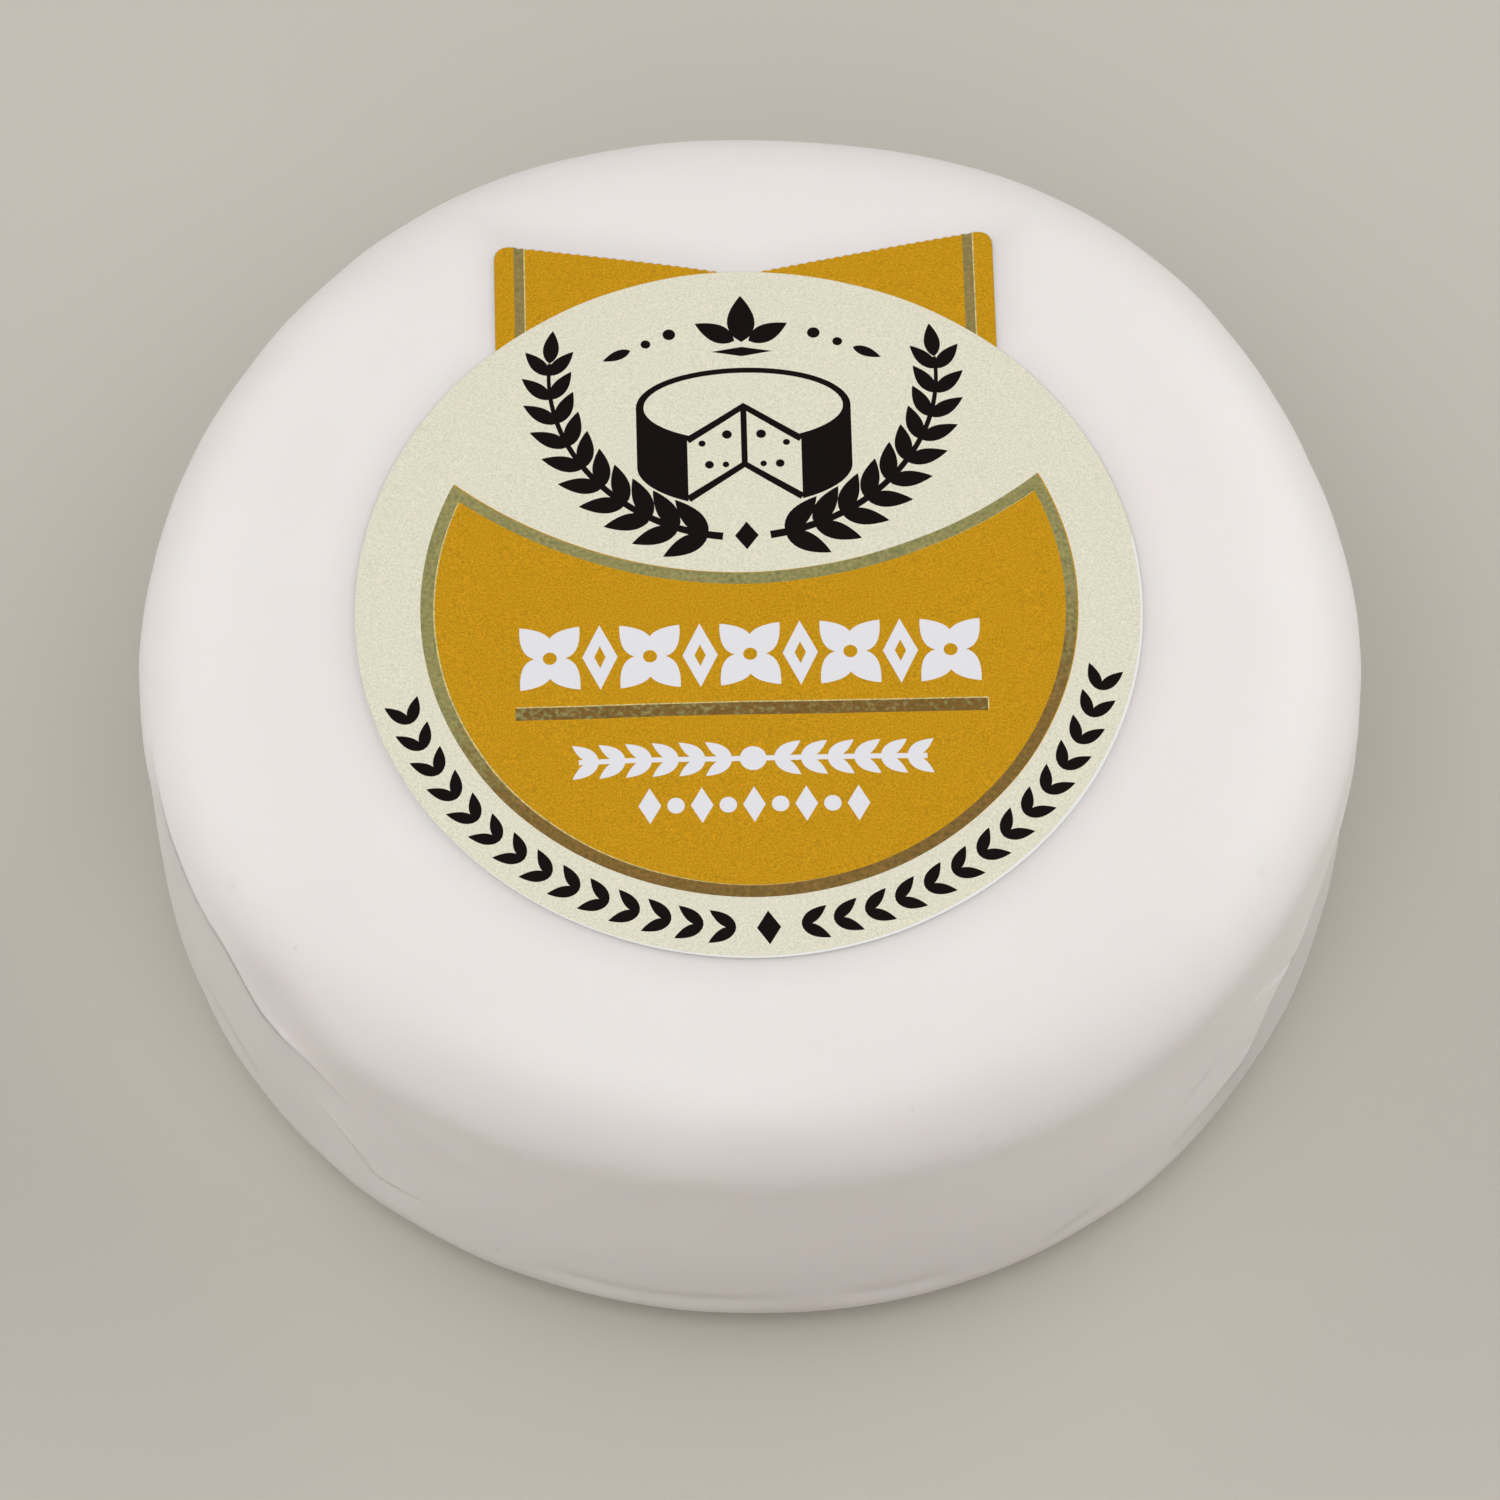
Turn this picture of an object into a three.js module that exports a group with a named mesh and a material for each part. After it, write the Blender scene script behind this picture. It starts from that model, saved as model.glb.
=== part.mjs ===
// A small waxed cheese truckle with a die-cut paper label stuck on its top, in millimetres, +Z up.
// The origin is the middle of the flat base, and the label is read from the -Y side.
// Azimuths are in degrees from +X towards +Y, round the truckle's upright axis.
import * as THREE from 'three';

// The truckle: a domed top, a round shoulder, a wall that leans in to the foot, and a flat base
const height = 34.5;
const radius = 43.5; // at the widest line, where the shoulder meets the wall
const domeDrop = 3.0; // the dome's fall from the middle out to the widest line
const domePower = 3;
const shoulderWidth = 9.4;
const shoulderDrop = 6.62; // on top of the dome's fall
const shoulderPower = 2.4; // 2 is an ellipse, and more is squarer
const wallTaper = 0.7;
const footRadius = 5.9;
const topSwell = 0.12; // the dipped wax is never quite even
const topWave = 7.5;
const topDip = 0.3; // a shallow dish in the middle of the top
const topDipAcross = 11;

// How far the truckle's outline, seen from above, leaves a true circle
const planWaves = [
  { count: 1, size: 0.14, turn: 268 },
  { count: 2, size: 0.45, turn: 11 },
  { count: 3, size: 0.1, turn: 211 },
  { count: 4, size: 0.24, turn: 165 },
  { count: 5, size: 0.16, turn: 275 },
  { count: 6, size: 0.15, turn: 338 },
  { count: 7, size: 0.06, turn: 31 },
];

// Folds in the wax, each along a line of azimuths and heights on the wall. The wax swells out to a lip
// just above the line and steps in below it, and the step fades towards the foot. Where a fold has a
// slope, the shoulder above is cut back to a soft flat
const foldEdge = 1.3;
const foldFade = 0.3; // the share of its length over which a fold comes and goes
const lipReach = 2;
const cutSoftness = 0.6;
const folds = [
  {
    line: [
      [189, 28.2], [199, 26.1], [206, 25.2], [213, 24], [216.5, 21.2], [219, 20.4], [223, 20.8], [231, 17.6],
    ],
    slope: 0.1, lip: 0.55, step: 0.34, below: 60,
  },
  {
    line: [[224, 14.4], [227.5, 13], [229.5, 11], [231, 9], [233, 8.7], [238, 9.8]],
    lip: 0.25, step: 0.35, below: 1.6,
  },
  {
    line: [
      [311, 4.6], [314, 8], [319, 8.9], [326, 9.8], [329, 14], [334, 15.6], [338, 18.2], [346, 20.6], [358, 23],
    ],
    lip: 0.25, step: 0.3, below: 60,
  },
  { line: [[28, 17], [40, 18.4], [53, 21], [66, 24.5]], lip: 0.25, step: 0.3, below: 5 },
  { line: [[128, 23.5], [140, 23.1], [150, 22.2], [161, 20.6], [172, 18.5]], lip: 0.25, step: 0.3, below: 5 },
];

// Soft hollows that run round the wall near the foot
const grooveWidth = 1.3;
const grooves = [
  { line: [[247, 7.2], [254, 6.2], [261, 5.8], [269, 6], [276, 6.8]], depth: 0.3 },
  { line: [[277, 6.8], [284, 6], [291, 6.4]], depth: 0.22 },
  { line: [[92, 9], [98, 7.6], [105, 7], [112, 7.4], [118, 8.2]], depth: 0.3 },
];

// Shallow flats where the truckle was held and stood while the wax was warm
const dents = [
  { azimuth: 236, height: 14, across: 9, depth: 0.18 },
  { azimuth: 318, height: 18, across: 8, depth: 0.16 },
  { azimuth: 10, height: 12, across: 8, depth: 0.16 },
  { azimuth: 80, height: 15, across: 9, depth: 0.2 },
];

// The paper label: a disc with a wide tab behind it whose end is cut to a shallow V
const labelRadius = 28;
const labelCentre = new THREE.Vector2(-0.13, -1.0);
const labelTurn = 1.4;
const tabHalfWidth = 18.03;
const tabAside = 0.33; // the tab isn't quite in the middle of the disc
const tabLength = 31.43; // from the disc's middle to the tab's corners
const tabLean = 0.26; // its right corner reaches further than its left
const tabCorner = 1.5;
const notchHalfWidth = 1.15; // where the V meets the disc
const paperThickness = 0.2;
const paperGap = 0.1; // clear of the wax below

// How finely the surfaces are cut
const azimuthSteps = 108;
const topSteps = 8;
const shoulderSteps = 10;
const wallSteps = 15;
const footSteps = 5;
const baseSteps = 2;
const labelArcSteps = 76;
const labelRings = 7;

const toRadians = THREE.MathUtils.degToRad;
const flatRadius = radius - shoulderWidth;
const baseRadius = radius - wallTaper - footRadius;

const waxMaterial = new THREE.MeshStandardMaterial({ color: 0xece6e2, roughness: 0.45, metalness: 0 });
const paperMaterial = new THREE.MeshStandardMaterial({ color: 0xdedac7, roughness: 0.6, metalness: 0 });

function planWave(azimuth) {
  let sum = 0;
  for (const wave of planWaves) {
    sum += wave.size * Math.cos(wave.count * azimuth - toRadians(wave.turn));
  }
  return sum;
}

// The shortest turn from one azimuth to another, both in degrees
function degreesApart(a, b) {
  return THREE.MathUtils.euclideanModulo(a - b + 180, 360) - 180;
}

// The height of a line of azimuths and heights at one azimuth
function lineHeight(line, turn) {
  const next = line.findIndex(([azimuth]) => azimuth > turn);
  if (next < 0) return line.at(-1)[1];
  if (next === 0) return line[0][1];
  const [fromTurn, fromHeight] = line[next - 1];
  const [toTurn, toHeight] = line[next];
  return THREE.MathUtils.mapLinear(turn, fromTurn, toTurn, fromHeight, toHeight);
}

// How high a place on the wall is above a line, with how strongly the line shows there
function besideLine(line, azimuth, z) {
  const from = line[0][0];
  const to = line.at(-1)[0];
  const middle = (from + to) / 2;
  const turn = middle + degreesApart(azimuth, middle);
  const along = (turn - from) / (to - from);
  const comes = THREE.MathUtils.smoothstep(along, 0, foldFade);
  const goes = THREE.MathUtils.smoothstep(1 - along, 0, foldFade);
  return { above: z - lineHeight(line, turn), strength: comes * goes };
}

// How far one fold moves the surface outwards
function foldRelief(fold, azimuth, z, distance) {
  const { above, strength } = besideLine(fold.line, azimuth, z);
  const up = Math.max(0, above);
  const down = Math.max(0, -above);
  let lip = fold.lip * Math.exp(-up / lipReach);
  if (fold.slope) {
    const over = (distance - radius + fold.slope * up) / cutSoftness;
    lip -= cutSoftness * Math.log1p(Math.exp(over));
  }
  const step = -fold.step * Math.exp(-down / fold.below);
  const isAbove = THREE.MathUtils.smoothstep(above, -foldEdge / 2, foldEdge / 2);
  return strength * THREE.MathUtils.lerp(step, lip, isAbove);
}

function grooveDepth(groove, azimuth, z) {
  const { above, strength } = besideLine(groove.line, azimuth, z);
  return groove.depth * strength * Math.exp(-((above / grooveWidth) ** 2));
}

function dentDepth(dent, azimuth, z) {
  const sideways = toRadians(degreesApart(azimuth, dent.azimuth)) * radius;
  const distance = Math.hypot(sideways, z - dent.height) / dent.across;
  return dent.depth * Math.exp(-(distance ** 2));
}

// How far the surface leaves the round profile, outwards, at an azimuth in radians, a height, and the
// profile's own distance from the axis
function sideRelief(azimuth, z, distance) {
  const inDegrees = THREE.MathUtils.radToDeg(azimuth);
  let relief = planWave(azimuth);
  for (const fold of folds) relief += foldRelief(fold, inDegrees, z, distance);
  for (const groove of grooves) relief -= grooveDepth(groove, inDegrees, z);
  for (const dent of dents) relief -= dentDepth(dent, inDegrees, z);
  return relief;
}

// The top's own unevenness, which dies away towards the shoulder
function topRelief(x, y) {
  const inner = 1 - THREE.MathUtils.smoothstep(Math.hypot(x, y), 0.6 * flatRadius, radius);
  const dip = topDip * Math.exp(-((Math.hypot(x, y) / topDipAcross) ** 2));
  return topSwell * inner * Math.sin(x / topWave + 0.6) * Math.cos((y - 0.5 * x) / topWave) - dip;
}

// The round profile's height over the dome and the shoulder
function topHeight(distance) {
  const over = THREE.MathUtils.clamp((distance - flatRadius) / shoulderWidth, 0, 1);
  const shoulder = 1 - (1 - over ** shoulderPower) ** (1 / shoulderPower);
  return height - domeDrop * (distance / radius) ** domePower - shoulderDrop * shoulder;
}

// The profile from the middle of the top to the middle of the base, as distance from the axis and height
function truckleProfile() {
  const points = [];
  for (let i = 0; i < topSteps; i++) {
    const distance = (flatRadius * i) / topSteps;
    points.push(new THREE.Vector2(distance, topHeight(distance)));
  }
  for (let i = 0; i < shoulderSteps; i++) {
    const turn = (Math.PI / 2) * (i / shoulderSteps);
    const distance = flatRadius + shoulderWidth * Math.sin(turn) ** (2 / shoulderPower);
    points.push(new THREE.Vector2(distance, topHeight(distance)));
  }
  const wallTop = topHeight(radius);
  for (let i = 0; i < wallSteps; i++) {
    const down = i / wallSteps;
    points.push(new THREE.Vector2(radius - wallTaper * down, THREE.MathUtils.lerp(wallTop, footRadius, down)));
  }
  for (let i = 0; i <= footSteps; i++) {
    const turn = (Math.PI / 2) * (i / footSteps);
    const distance = baseRadius + footRadius * Math.cos(turn);
    points.push(new THREE.Vector2(distance, footRadius * (1 - Math.sin(turn))));
  }
  for (let i = baseSteps - 1; i >= 0; i--) {
    points.push(new THREE.Vector2((baseRadius * i) / baseSteps, 0));
  }
  return points;
}

// A profile point carried to an azimuth, with the wax's relief
function onTruckle(point, azimuth) {
  const reach = (point.x / radius) ** 4;
  const out = point.x + sideRelief(azimuth, point.y, point.x) * reach;
  const x = out * Math.cos(azimuth);
  const y = out * Math.sin(azimuth);
  const isTop = point.y >= topHeight(radius);
  return new THREE.Vector3(x, y, isTop ? point.y + topRelief(x, y) : point.y);
}

// The height of the wax under a point of the top
function waxHeight(x, y) {
  const distance = Math.hypot(x, y);
  const reach = (distance / radius) ** 4;
  const azimuth = Math.atan2(y, x);
  return topHeight(distance - sideRelief(azimuth, height, distance) * reach) + topRelief(x, y);
}

// A closed surface from rings of points: it begins and ends on a single point
function ringGeometry(first, rings, last) {
  const count = rings[0].length;
  const points = [first, ...rings.flat(), last];
  const lastIndex = points.length - 1;
  const faces = [];
  for (let i = 0; i < count; i++) {
    const next = (i + 1) % count;
    faces.push(0, 1 + i, 1 + next);
    for (let ring = 0; ring < rings.length - 1; ring++) {
      const upper = 1 + ring * count;
      const lower = upper + count;
      faces.push(upper + i, lower + i, lower + next, upper + i, lower + next, upper + next);
    }
    const end = 1 + (rings.length - 1) * count;
    faces.push(end + i, lastIndex, end + next);
  }
  const geometry = new THREE.BufferGeometry().setFromPoints(points);
  geometry.setIndex(faces);
  geometry.computeVertexNormals();
  return geometry;
}

function truckle() {
  const profile = truckleProfile();
  const rings = profile.slice(1, -1).map((point) => {
    const ring = [];
    for (let i = 0; i < azimuthSteps; i++) ring.push(onTruckle(point, (2 * Math.PI * i) / azimuthSteps));
    return ring;
  });
  const top = onTruckle(profile[0], 0);
  const bottom = new THREE.Vector3(0, 0, 0);
  const mesh = new THREE.Mesh(ringGeometry(top, rings, bottom), waxMaterial);
  mesh.name = 'waxed_truckle';
  return mesh;
}

// One side of the tab's end, from its outer corner to where the V meets the disc: side is 1 or -1
function tabSide(side) {
  const edge = tabHalfWidth + side * tabAside;
  const notch = new THREE.Vector2(notchHalfWidth, Math.sqrt(labelRadius ** 2 - notchHalfWidth ** 2));
  const corner = new THREE.Vector2(edge, tabLength + side * tabLean);
  const inward = notch.clone().sub(corner).normalize();
  const start = new THREE.Vector2(edge, corner.y - tabCorner);
  const end = corner.clone().addScaledVector(inward, tabCorner);
  const rounded = new THREE.QuadraticBezierCurve(start, corner, end).getPoints(4);
  const straight = new THREE.LineCurve(end, notch).getPoints(6);
  return [...rounded, ...straight.slice(1)].map((point) => new THREE.Vector2(side * point.x, point.y));
}

// The die-cut edge, round the label's own middle, anticlockwise from the tab's right side
function labelOutline() {
  const right = tabSide(1);
  const left = tabSide(-1).reverse();
  const crownStart = right.at(-1).angle();
  const crownEnd = left[0].angle();
  const discStart = Math.acos((tabAside - tabHalfWidth) / labelRadius);
  const discEnd = 2 * Math.PI + Math.acos((tabAside + tabHalfWidth) / labelRadius);
  const crown = new THREE.EllipseCurve(0, 0, labelRadius, labelRadius, crownStart, crownEnd);
  const disc = new THREE.EllipseCurve(0, 0, labelRadius, labelRadius, discStart, discEnd);
  return [...right, ...crown.getPoints(4).slice(1, -1), ...left, ...disc.getPoints(labelArcSteps)];
}

// Both faces of the paper follow the wax, from the middle out to the cut edge
function label() {
  const outline = labelOutline();
  const turn = toRadians(labelTurn);
  const origin = new THREE.Vector2();
  const place = (point, share, lift) => {
    const flat = point.clone().multiplyScalar(share).rotateAround(origin, turn).add(labelCentre);
    return new THREE.Vector3(flat.x, flat.y, waxHeight(flat.x, flat.y) + lift);
  };
  const upper = paperGap + paperThickness;
  const rings = [];
  for (let i = 1; i <= labelRings; i++) {
    rings.push(outline.map((point) => place(point, i / labelRings, upper)));
  }
  for (let i = labelRings; i >= 1; i--) {
    rings.push(outline.map((point) => place(point, i / labelRings, paperGap)));
  }
  const geometry = ringGeometry(place(outline[0], 0, upper), rings, place(outline[0], 0, paperGap));
  const mesh = new THREE.Mesh(geometry, paperMaterial);
  mesh.name = 'paper_label';
  return mesh;
}

const cheese = new THREE.Group();
cheese.add(truckle(), label());

export default cheese;
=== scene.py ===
# A small cheese truckle in white wax with a printed paper label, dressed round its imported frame.
# Sizes are in millimetres until a mesh is made. Azimuths are in degrees from +X towards +Y.
import math

import bpy
import numpy as np
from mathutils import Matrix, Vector
from mathutils.geometry import delaunay_2d_cdt


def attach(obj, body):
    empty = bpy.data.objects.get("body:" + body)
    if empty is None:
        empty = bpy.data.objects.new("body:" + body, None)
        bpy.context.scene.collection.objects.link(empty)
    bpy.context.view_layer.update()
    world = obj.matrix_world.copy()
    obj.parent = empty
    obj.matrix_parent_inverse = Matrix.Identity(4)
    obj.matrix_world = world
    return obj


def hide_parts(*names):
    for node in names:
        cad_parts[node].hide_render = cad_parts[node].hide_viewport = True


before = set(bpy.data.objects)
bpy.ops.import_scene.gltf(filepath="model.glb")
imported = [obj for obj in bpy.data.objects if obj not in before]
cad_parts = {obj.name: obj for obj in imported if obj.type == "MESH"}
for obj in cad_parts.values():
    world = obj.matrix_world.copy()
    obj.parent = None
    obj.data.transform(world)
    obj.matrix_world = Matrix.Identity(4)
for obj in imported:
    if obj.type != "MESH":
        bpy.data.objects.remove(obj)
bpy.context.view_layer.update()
mm = 0.001
print("frame: nodes", sorted(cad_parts))

# The truckle's form, the same as the solid's
truckle = {
    "height": 34.5,
    "radius": 43.5,  # at the widest line, where the shoulder meets the wall
    "domeDrop": 3.0,
    "domePower": 3,
    "shoulderWidth": 9.4,
    "shoulderDrop": 6.62,
    "shoulderPower": 2.4,
    "wallTaper": 0.7,
    "footRadius": 5.9,
    "reliefPower": 4,  # the wall's unevenness dies away towards the middle of the top
    "topSwell": 0.12,
    "topSwellFrom": 0.6,  # the share of the flat top inside which the swell is full
    "topWave": 7.5,
    "topWaveTurn": 0.6,
    "topWaveSlant": 0.5,
    "topDip": 0.3,  # a shallow dish in the middle of the top
    "topDipAcross": 11,
    "foldEdge": 0.4,  # the solid's own folds are softer
    "lineRounding": 1.3,  # the degrees to each side over which a line's corners are rounded
    "foldFade": 0.3,  # the share of its length over which a fold comes and goes
    "lipReach": 2.0,
    "cutSoftness": 0.6,
    "grooveWidth": 1.1,
    "crackRise": 0.32,  # above the fold's line
    "crackWidth": 0.2,
    "crackEnds": 1.5,  # a power that ends the crack sooner than its fold
    "underLip": (0.3, 1.3),  # the painted shade below the lip fades out between these depths
    "underLipShare": 0.5,  # of the crack's own painted shade
    "shadeFullFrom": 1.2,  # the painted shade below a cracked fold is full at this depth
    "shadeFade": 18,
    "footShade": 0.06,  # painted shade, a little darker low on the wall
    "footShadeHeights": (7, 17),
    "darkestDepth": 0.55,  # a wrinkle this deep gets painted shade as dark as a crack's
    "wrinkleEnds": 0.06,  # a wrinkle's fade stops this share of its length short of each end
    "waver": 0.035,  # small unevenness of the dipped wax, a sum of waves
    "waverWaves": 14,
    "waverLength": 7.0,
    "waverSpread": (0.6, 1.6),  # shares of that length
    "waverPhase": 7,
    "waverSeed": 3,
    "waverInset": 0.06,  # so that its crests stay inside the solid's outline
    "waverRise": 1.5,  # it comes in over this height above the base
    "azimuthSteps": 960,
    "topSteps": 18,
    "shoulderSteps": 60,
    "wallSteps": 150,
    "footSteps": 15,
    "baseSteps": 5,
}
planWaves = [
    {"count": 1, "size": 0.14, "turn": 268},
    {"count": 2, "size": 0.45, "turn": 11},
    {"count": 3, "size": 0.1, "turn": 211},
    {"count": 4, "size": 0.24, "turn": 165},
    {"count": 5, "size": 0.16, "turn": 275},
    {"count": 6, "size": 0.15, "turn": 338},
    {"count": 7, "size": 0.06, "turn": 31},
]
# Folds in the wax, each along a line of azimuths and heights on the wall. The wax swells out to a lip
# just above the line and steps in below it, with a fine crack along the lip. Where a fold has a slope,
# the shoulder above is cut back to a soft flat. A groove is a soft hollow along its line.
folds = [
    {
        "line": [
            (189, 28.2), (199, 26.1), (206, 25.2), (213, 24.0),
            (216.5, 21.2), (219, 20.4), (223, 20.8), (231, 17.6),
        ],
        "slope": 0.1, "lip": 0.55, "step": 0.34, "below": 60, "crack": 0.1, "shade": 0.08,
    },
    {
        "line": [(224, 14.4), (227.5, 13.0), (229.5, 11.0), (231, 9.0), (233, 8.7), (238, 9.8)],
        "lip": 0.25, "step": 0.35, "below": 1.6,
    },
    {
        "line": [
            (311, 4.6), (314, 8.0), (319, 8.9), (326, 9.8), (329, 14.0),
            (334, 15.6), (338, 18.2), (346, 20.6), (358, 23),
        ],
        "lip": 0.25, "step": 0.3, "below": 60, "crack": 0.1, "shade": 0.2,
    },
    {"line": [(28, 17.0), (40, 18.4), (53, 21.0), (66, 24.5)], "lip": 0.25, "step": 0.3, "below": 5},
    {
        "line": [(128, 23.5), (140, 23.1), (150, 22.2), (161, 20.6), (172, 18.5)],
        "lip": 0.25, "step": 0.3, "below": 5,
    },
]
grooves = [
    {"line": [(247, 7.2), (254, 6.2), (261, 5.8), (269, 6.0), (276, 6.8)], "depth": 0.3},
    {"line": [(277, 6.8), (284, 6.0), (291, 6.4)], "depth": 0.22},
    {"line": [(92, 9.0), (98, 7.6), (105, 7.0), (112, 7.4), (118, 8.2)], "depth": 0.3},
]
dents = [
    {"azimuth": 236, "height": 14, "across": 9, "depth": 0.18},
    {"azimuth": 318, "height": 18, "across": 8, "depth": 0.16},
    {"azimuth": 10, "height": 12, "across": 8, "depth": 0.16},
    {"azimuth": 80, "height": 15, "across": 9, "depth": 0.2},
]
# Short wrinkles in the wax, each from one azimuth and height to another, and pits at single ones
wrinkles = [
    {"from": (334, 15.8), "to": (327, 17.6), "width": 0.35, "depth": 0.14},
    {"from": (229.1, 11.5), "to": (231, 8.9), "width": 0.45, "depth": 0.16},
    {"from": (230.8, 8.8), "to": (235.2, 9.2), "width": 0.45, "depth": 0.18},
    {"from": (330, 17.2), "to": (325.5, 18.4), "width": 0.3, "depth": -0.1},
    {"from": (220, 21.2), "to": (224, 20.6), "width": 0.4, "depth": -0.14},
    {"from": (243, 17.4), "to": (235, 24.6), "width": 2.4, "depth": -0.12},
    {"from": (320.5, 15.0), "to": (316.5, 13.2), "width": 0.7, "depth": 0.1},
    {"from": (205, 9.0), "to": (214, 7.4), "width": 0.9, "depth": 0.16},
    {"from": (300, 6.0), "to": (305, 7.2), "width": 0.7, "depth": 0.12},
    {"from": (74, 18.0), "to": (81, 19.4), "width": 0.5, "depth": 0.14},
    {"from": (104, 21.0), "to": (111, 19.0), "width": 0.6, "depth": 0.12},
    {"from": (150, 9.4), "to": (157, 10.6), "width": 0.6, "depth": 0.14},
    {"from": (20, 8.0), "to": (26, 6.6), "width": 0.8, "depth": 0.16},
]
pits = [
    (330.5, 30.1), (325.5, 11.7), (319, 23.1), (210, 29.5),
    (292, 27.4), (262, 25.2), (141, 26.8), (47, 12.1),
]
pit = {"width": 0.3, "depth": 0.2}
pitLength = 0.01
flatRadius = truckle["radius"] - truckle["shoulderWidth"]
baseRadius = truckle["radius"] - truckle["wallTaper"] - truckle["footRadius"]


def smoothstep(x, low, high):
    t = np.clip((x - low) / (high - low), 0, 1)
    return t * t * (3 - 2 * t)


def degreesApart(a, b):
    return (a - b + 180) % 360 - 180


# Heights above a line round the wall, with how strongly the line shows there
def besideLine(line, azimuth, z):
    turns, heights = np.array(line).T
    middle = (turns[0] + turns[-1]) / 2
    turn = middle + degreesApart(azimuth, middle)
    along = np.clip((turn - turns[0]) / (turns[-1] - turns[0]), 0, 1)
    strength = smoothstep(along, 0, truckle["foldFade"]) * smoothstep(1 - along, 0, truckle["foldFade"])
    # the average of three places rounds the line's corners
    shift = truckle["lineRounding"]
    nearby = [np.interp(turn + aside, turns, heights) for aside in (-shift, 0, shift)]
    return z - sum(nearby) / len(nearby), strength


# The thin crack on the lip's edge, cut a little into the wax and darkened with painted shade
def crackShare(fold, azimuth, z):
    above, strength = besideLine(fold["line"], azimuth, z)
    away = (above - truckle["crackRise"]) / truckle["crackWidth"]
    return strength ** truckle["crackEnds"] * np.exp(-(away ** 2))


# Painted shade just below the lip
def underLip(fold, azimuth, z):
    above, strength = besideLine(fold["line"], azimuth, z)
    nearEnd, farEnd = truckle["underLip"]
    return truckle["underLipShare"] * strength * smoothstep(above, -farEnd, -nearEnd) * (above < 0)


# Painted shade on the wax below a cracked fold, down to the foot
def belowFold(fold, azimuth, z):
    above, strength = besideLine(fold["line"], azimuth, z)
    fading = np.exp(-np.maximum(0, -above) / truckle["shadeFade"])
    return fold["shade"] * strength * smoothstep(-above, 0, truckle["shadeFullFrom"]) * fading


# How far one fold moves the surface outwards
def foldRelief(fold, azimuth, z, distance):
    above, strength = besideLine(fold["line"], azimuth, z)
    up, down = np.maximum(0, above), np.maximum(0, -above)
    lip = fold["lip"] * np.exp(-up / truckle["lipReach"])
    if "slope" in fold:
        over = (distance - truckle["radius"] + fold["slope"] * up) / truckle["cutSoftness"]
        lip = lip - truckle["cutSoftness"] * np.logaddexp(0, over)
    step = -fold["step"] * np.exp(-down / fold["below"])
    isAbove = smoothstep(above, -truckle["foldEdge"] / 2, truckle["foldEdge"] / 2)
    return strength * (step + (lip - step) * isAbove) - fold.get("crack", 0) * crackShare(fold, azimuth, z)


def grooveDepth(groove, azimuth, z):
    above, strength = besideLine(groove["line"], azimuth, z)
    return groove["depth"] * strength * np.exp(-((above / truckle["grooveWidth"]) ** 2))


def dentDepth(dent, azimuth, z):
    sideways = np.radians(degreesApart(azimuth, dent["azimuth"])) * truckle["radius"]
    distance = np.hypot(sideways, z - dent["height"]) / dent["across"]
    return dent["depth"] * np.exp(-(distance ** 2))


def wrinkleDepth(wrinkle, azimuth, z):
    (fromAzimuth, fromHeight), (toAzimuth, toHeight) = wrinkle["from"], wrinkle["to"]
    perDegree = math.radians(truckle["radius"])
    end = np.array([degreesApart(toAzimuth, fromAzimuth) * perDegree, toHeight - fromHeight])
    x, y = degreesApart(azimuth, fromAzimuth) * perDegree, z - fromHeight
    along = np.clip((x * end[0] + y * end[1]) / (end @ end), 0, 1)
    distance = np.hypot(x - along * end[0], y - along * end[1])
    ends = truckle["wrinkleEnds"]
    fading = np.sqrt(np.sin(np.pi * np.clip(along, ends, 1 - ends)))
    return wrinkle["depth"] * fading * np.exp(-((distance / wrinkle["width"]) ** 2))


# How far the surface leaves the round profile, outwards, at an azimuth in radians
def sideRelief(azimuth, z, distance):
    inDegrees = np.degrees(azimuth)
    relief = sum(w["size"] * np.cos(w["count"] * azimuth - math.radians(w["turn"])) for w in planWaves)
    relief = relief + sum(foldRelief(fold, inDegrees, z, distance) for fold in folds)
    relief = relief - sum(grooveDepth(groove, inDegrees, z) for groove in grooves)
    return relief - sum(dentDepth(dent, inDegrees, z) for dent in dents)


def topRelief(x, y):
    inner = 1 - smoothstep(np.hypot(x, y), truckle["topSwellFrom"] * flatRadius, truckle["radius"])
    across = np.sin(x / truckle["topWave"] + truckle["topWaveTurn"])
    along = np.cos((y - truckle["topWaveSlant"] * x) / truckle["topWave"])
    dip = truckle["topDip"] * np.exp(-((np.hypot(x, y) / truckle["topDipAcross"]) ** 2))
    return truckle["topSwell"] * inner * across * along - dip


def topHeight(distance):
    over = np.clip((distance - flatRadius) / truckle["shoulderWidth"], 0, 1)
    power = truckle["shoulderPower"]
    shoulder = 1 - (1 - over ** power) ** (1 / power)
    dome = truckle["domeDrop"] * (distance / truckle["radius"]) ** truckle["domePower"]
    return truckle["height"] - dome - truckle["shoulderDrop"] * shoulder


wallTop = topHeight(np.array([truckle["radius"]]))[0]
roundOff = 1e-6


# The wax's small unevenness: a smooth random field, a sum of plane waves in seeded directions
def waver(x, y, z):
    draws = np.random.default_rng(truckle["waverSeed"])
    total = np.zeros_like(x)
    for _ in range(truckle["waverWaves"]):
        direction = draws.normal(size=3)
        length = truckle["waverLength"] * draws.uniform(*truckle["waverSpread"])
        direction /= np.linalg.norm(direction) * length
        turns = x * direction[0] + y * direction[1] + z * direction[2]
        total += np.sin(2 * math.pi * turns + draws.uniform(0, truckle["waverPhase"]))
    return truckle["waver"] * total / math.sqrt(truckle["waverWaves"])


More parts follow.
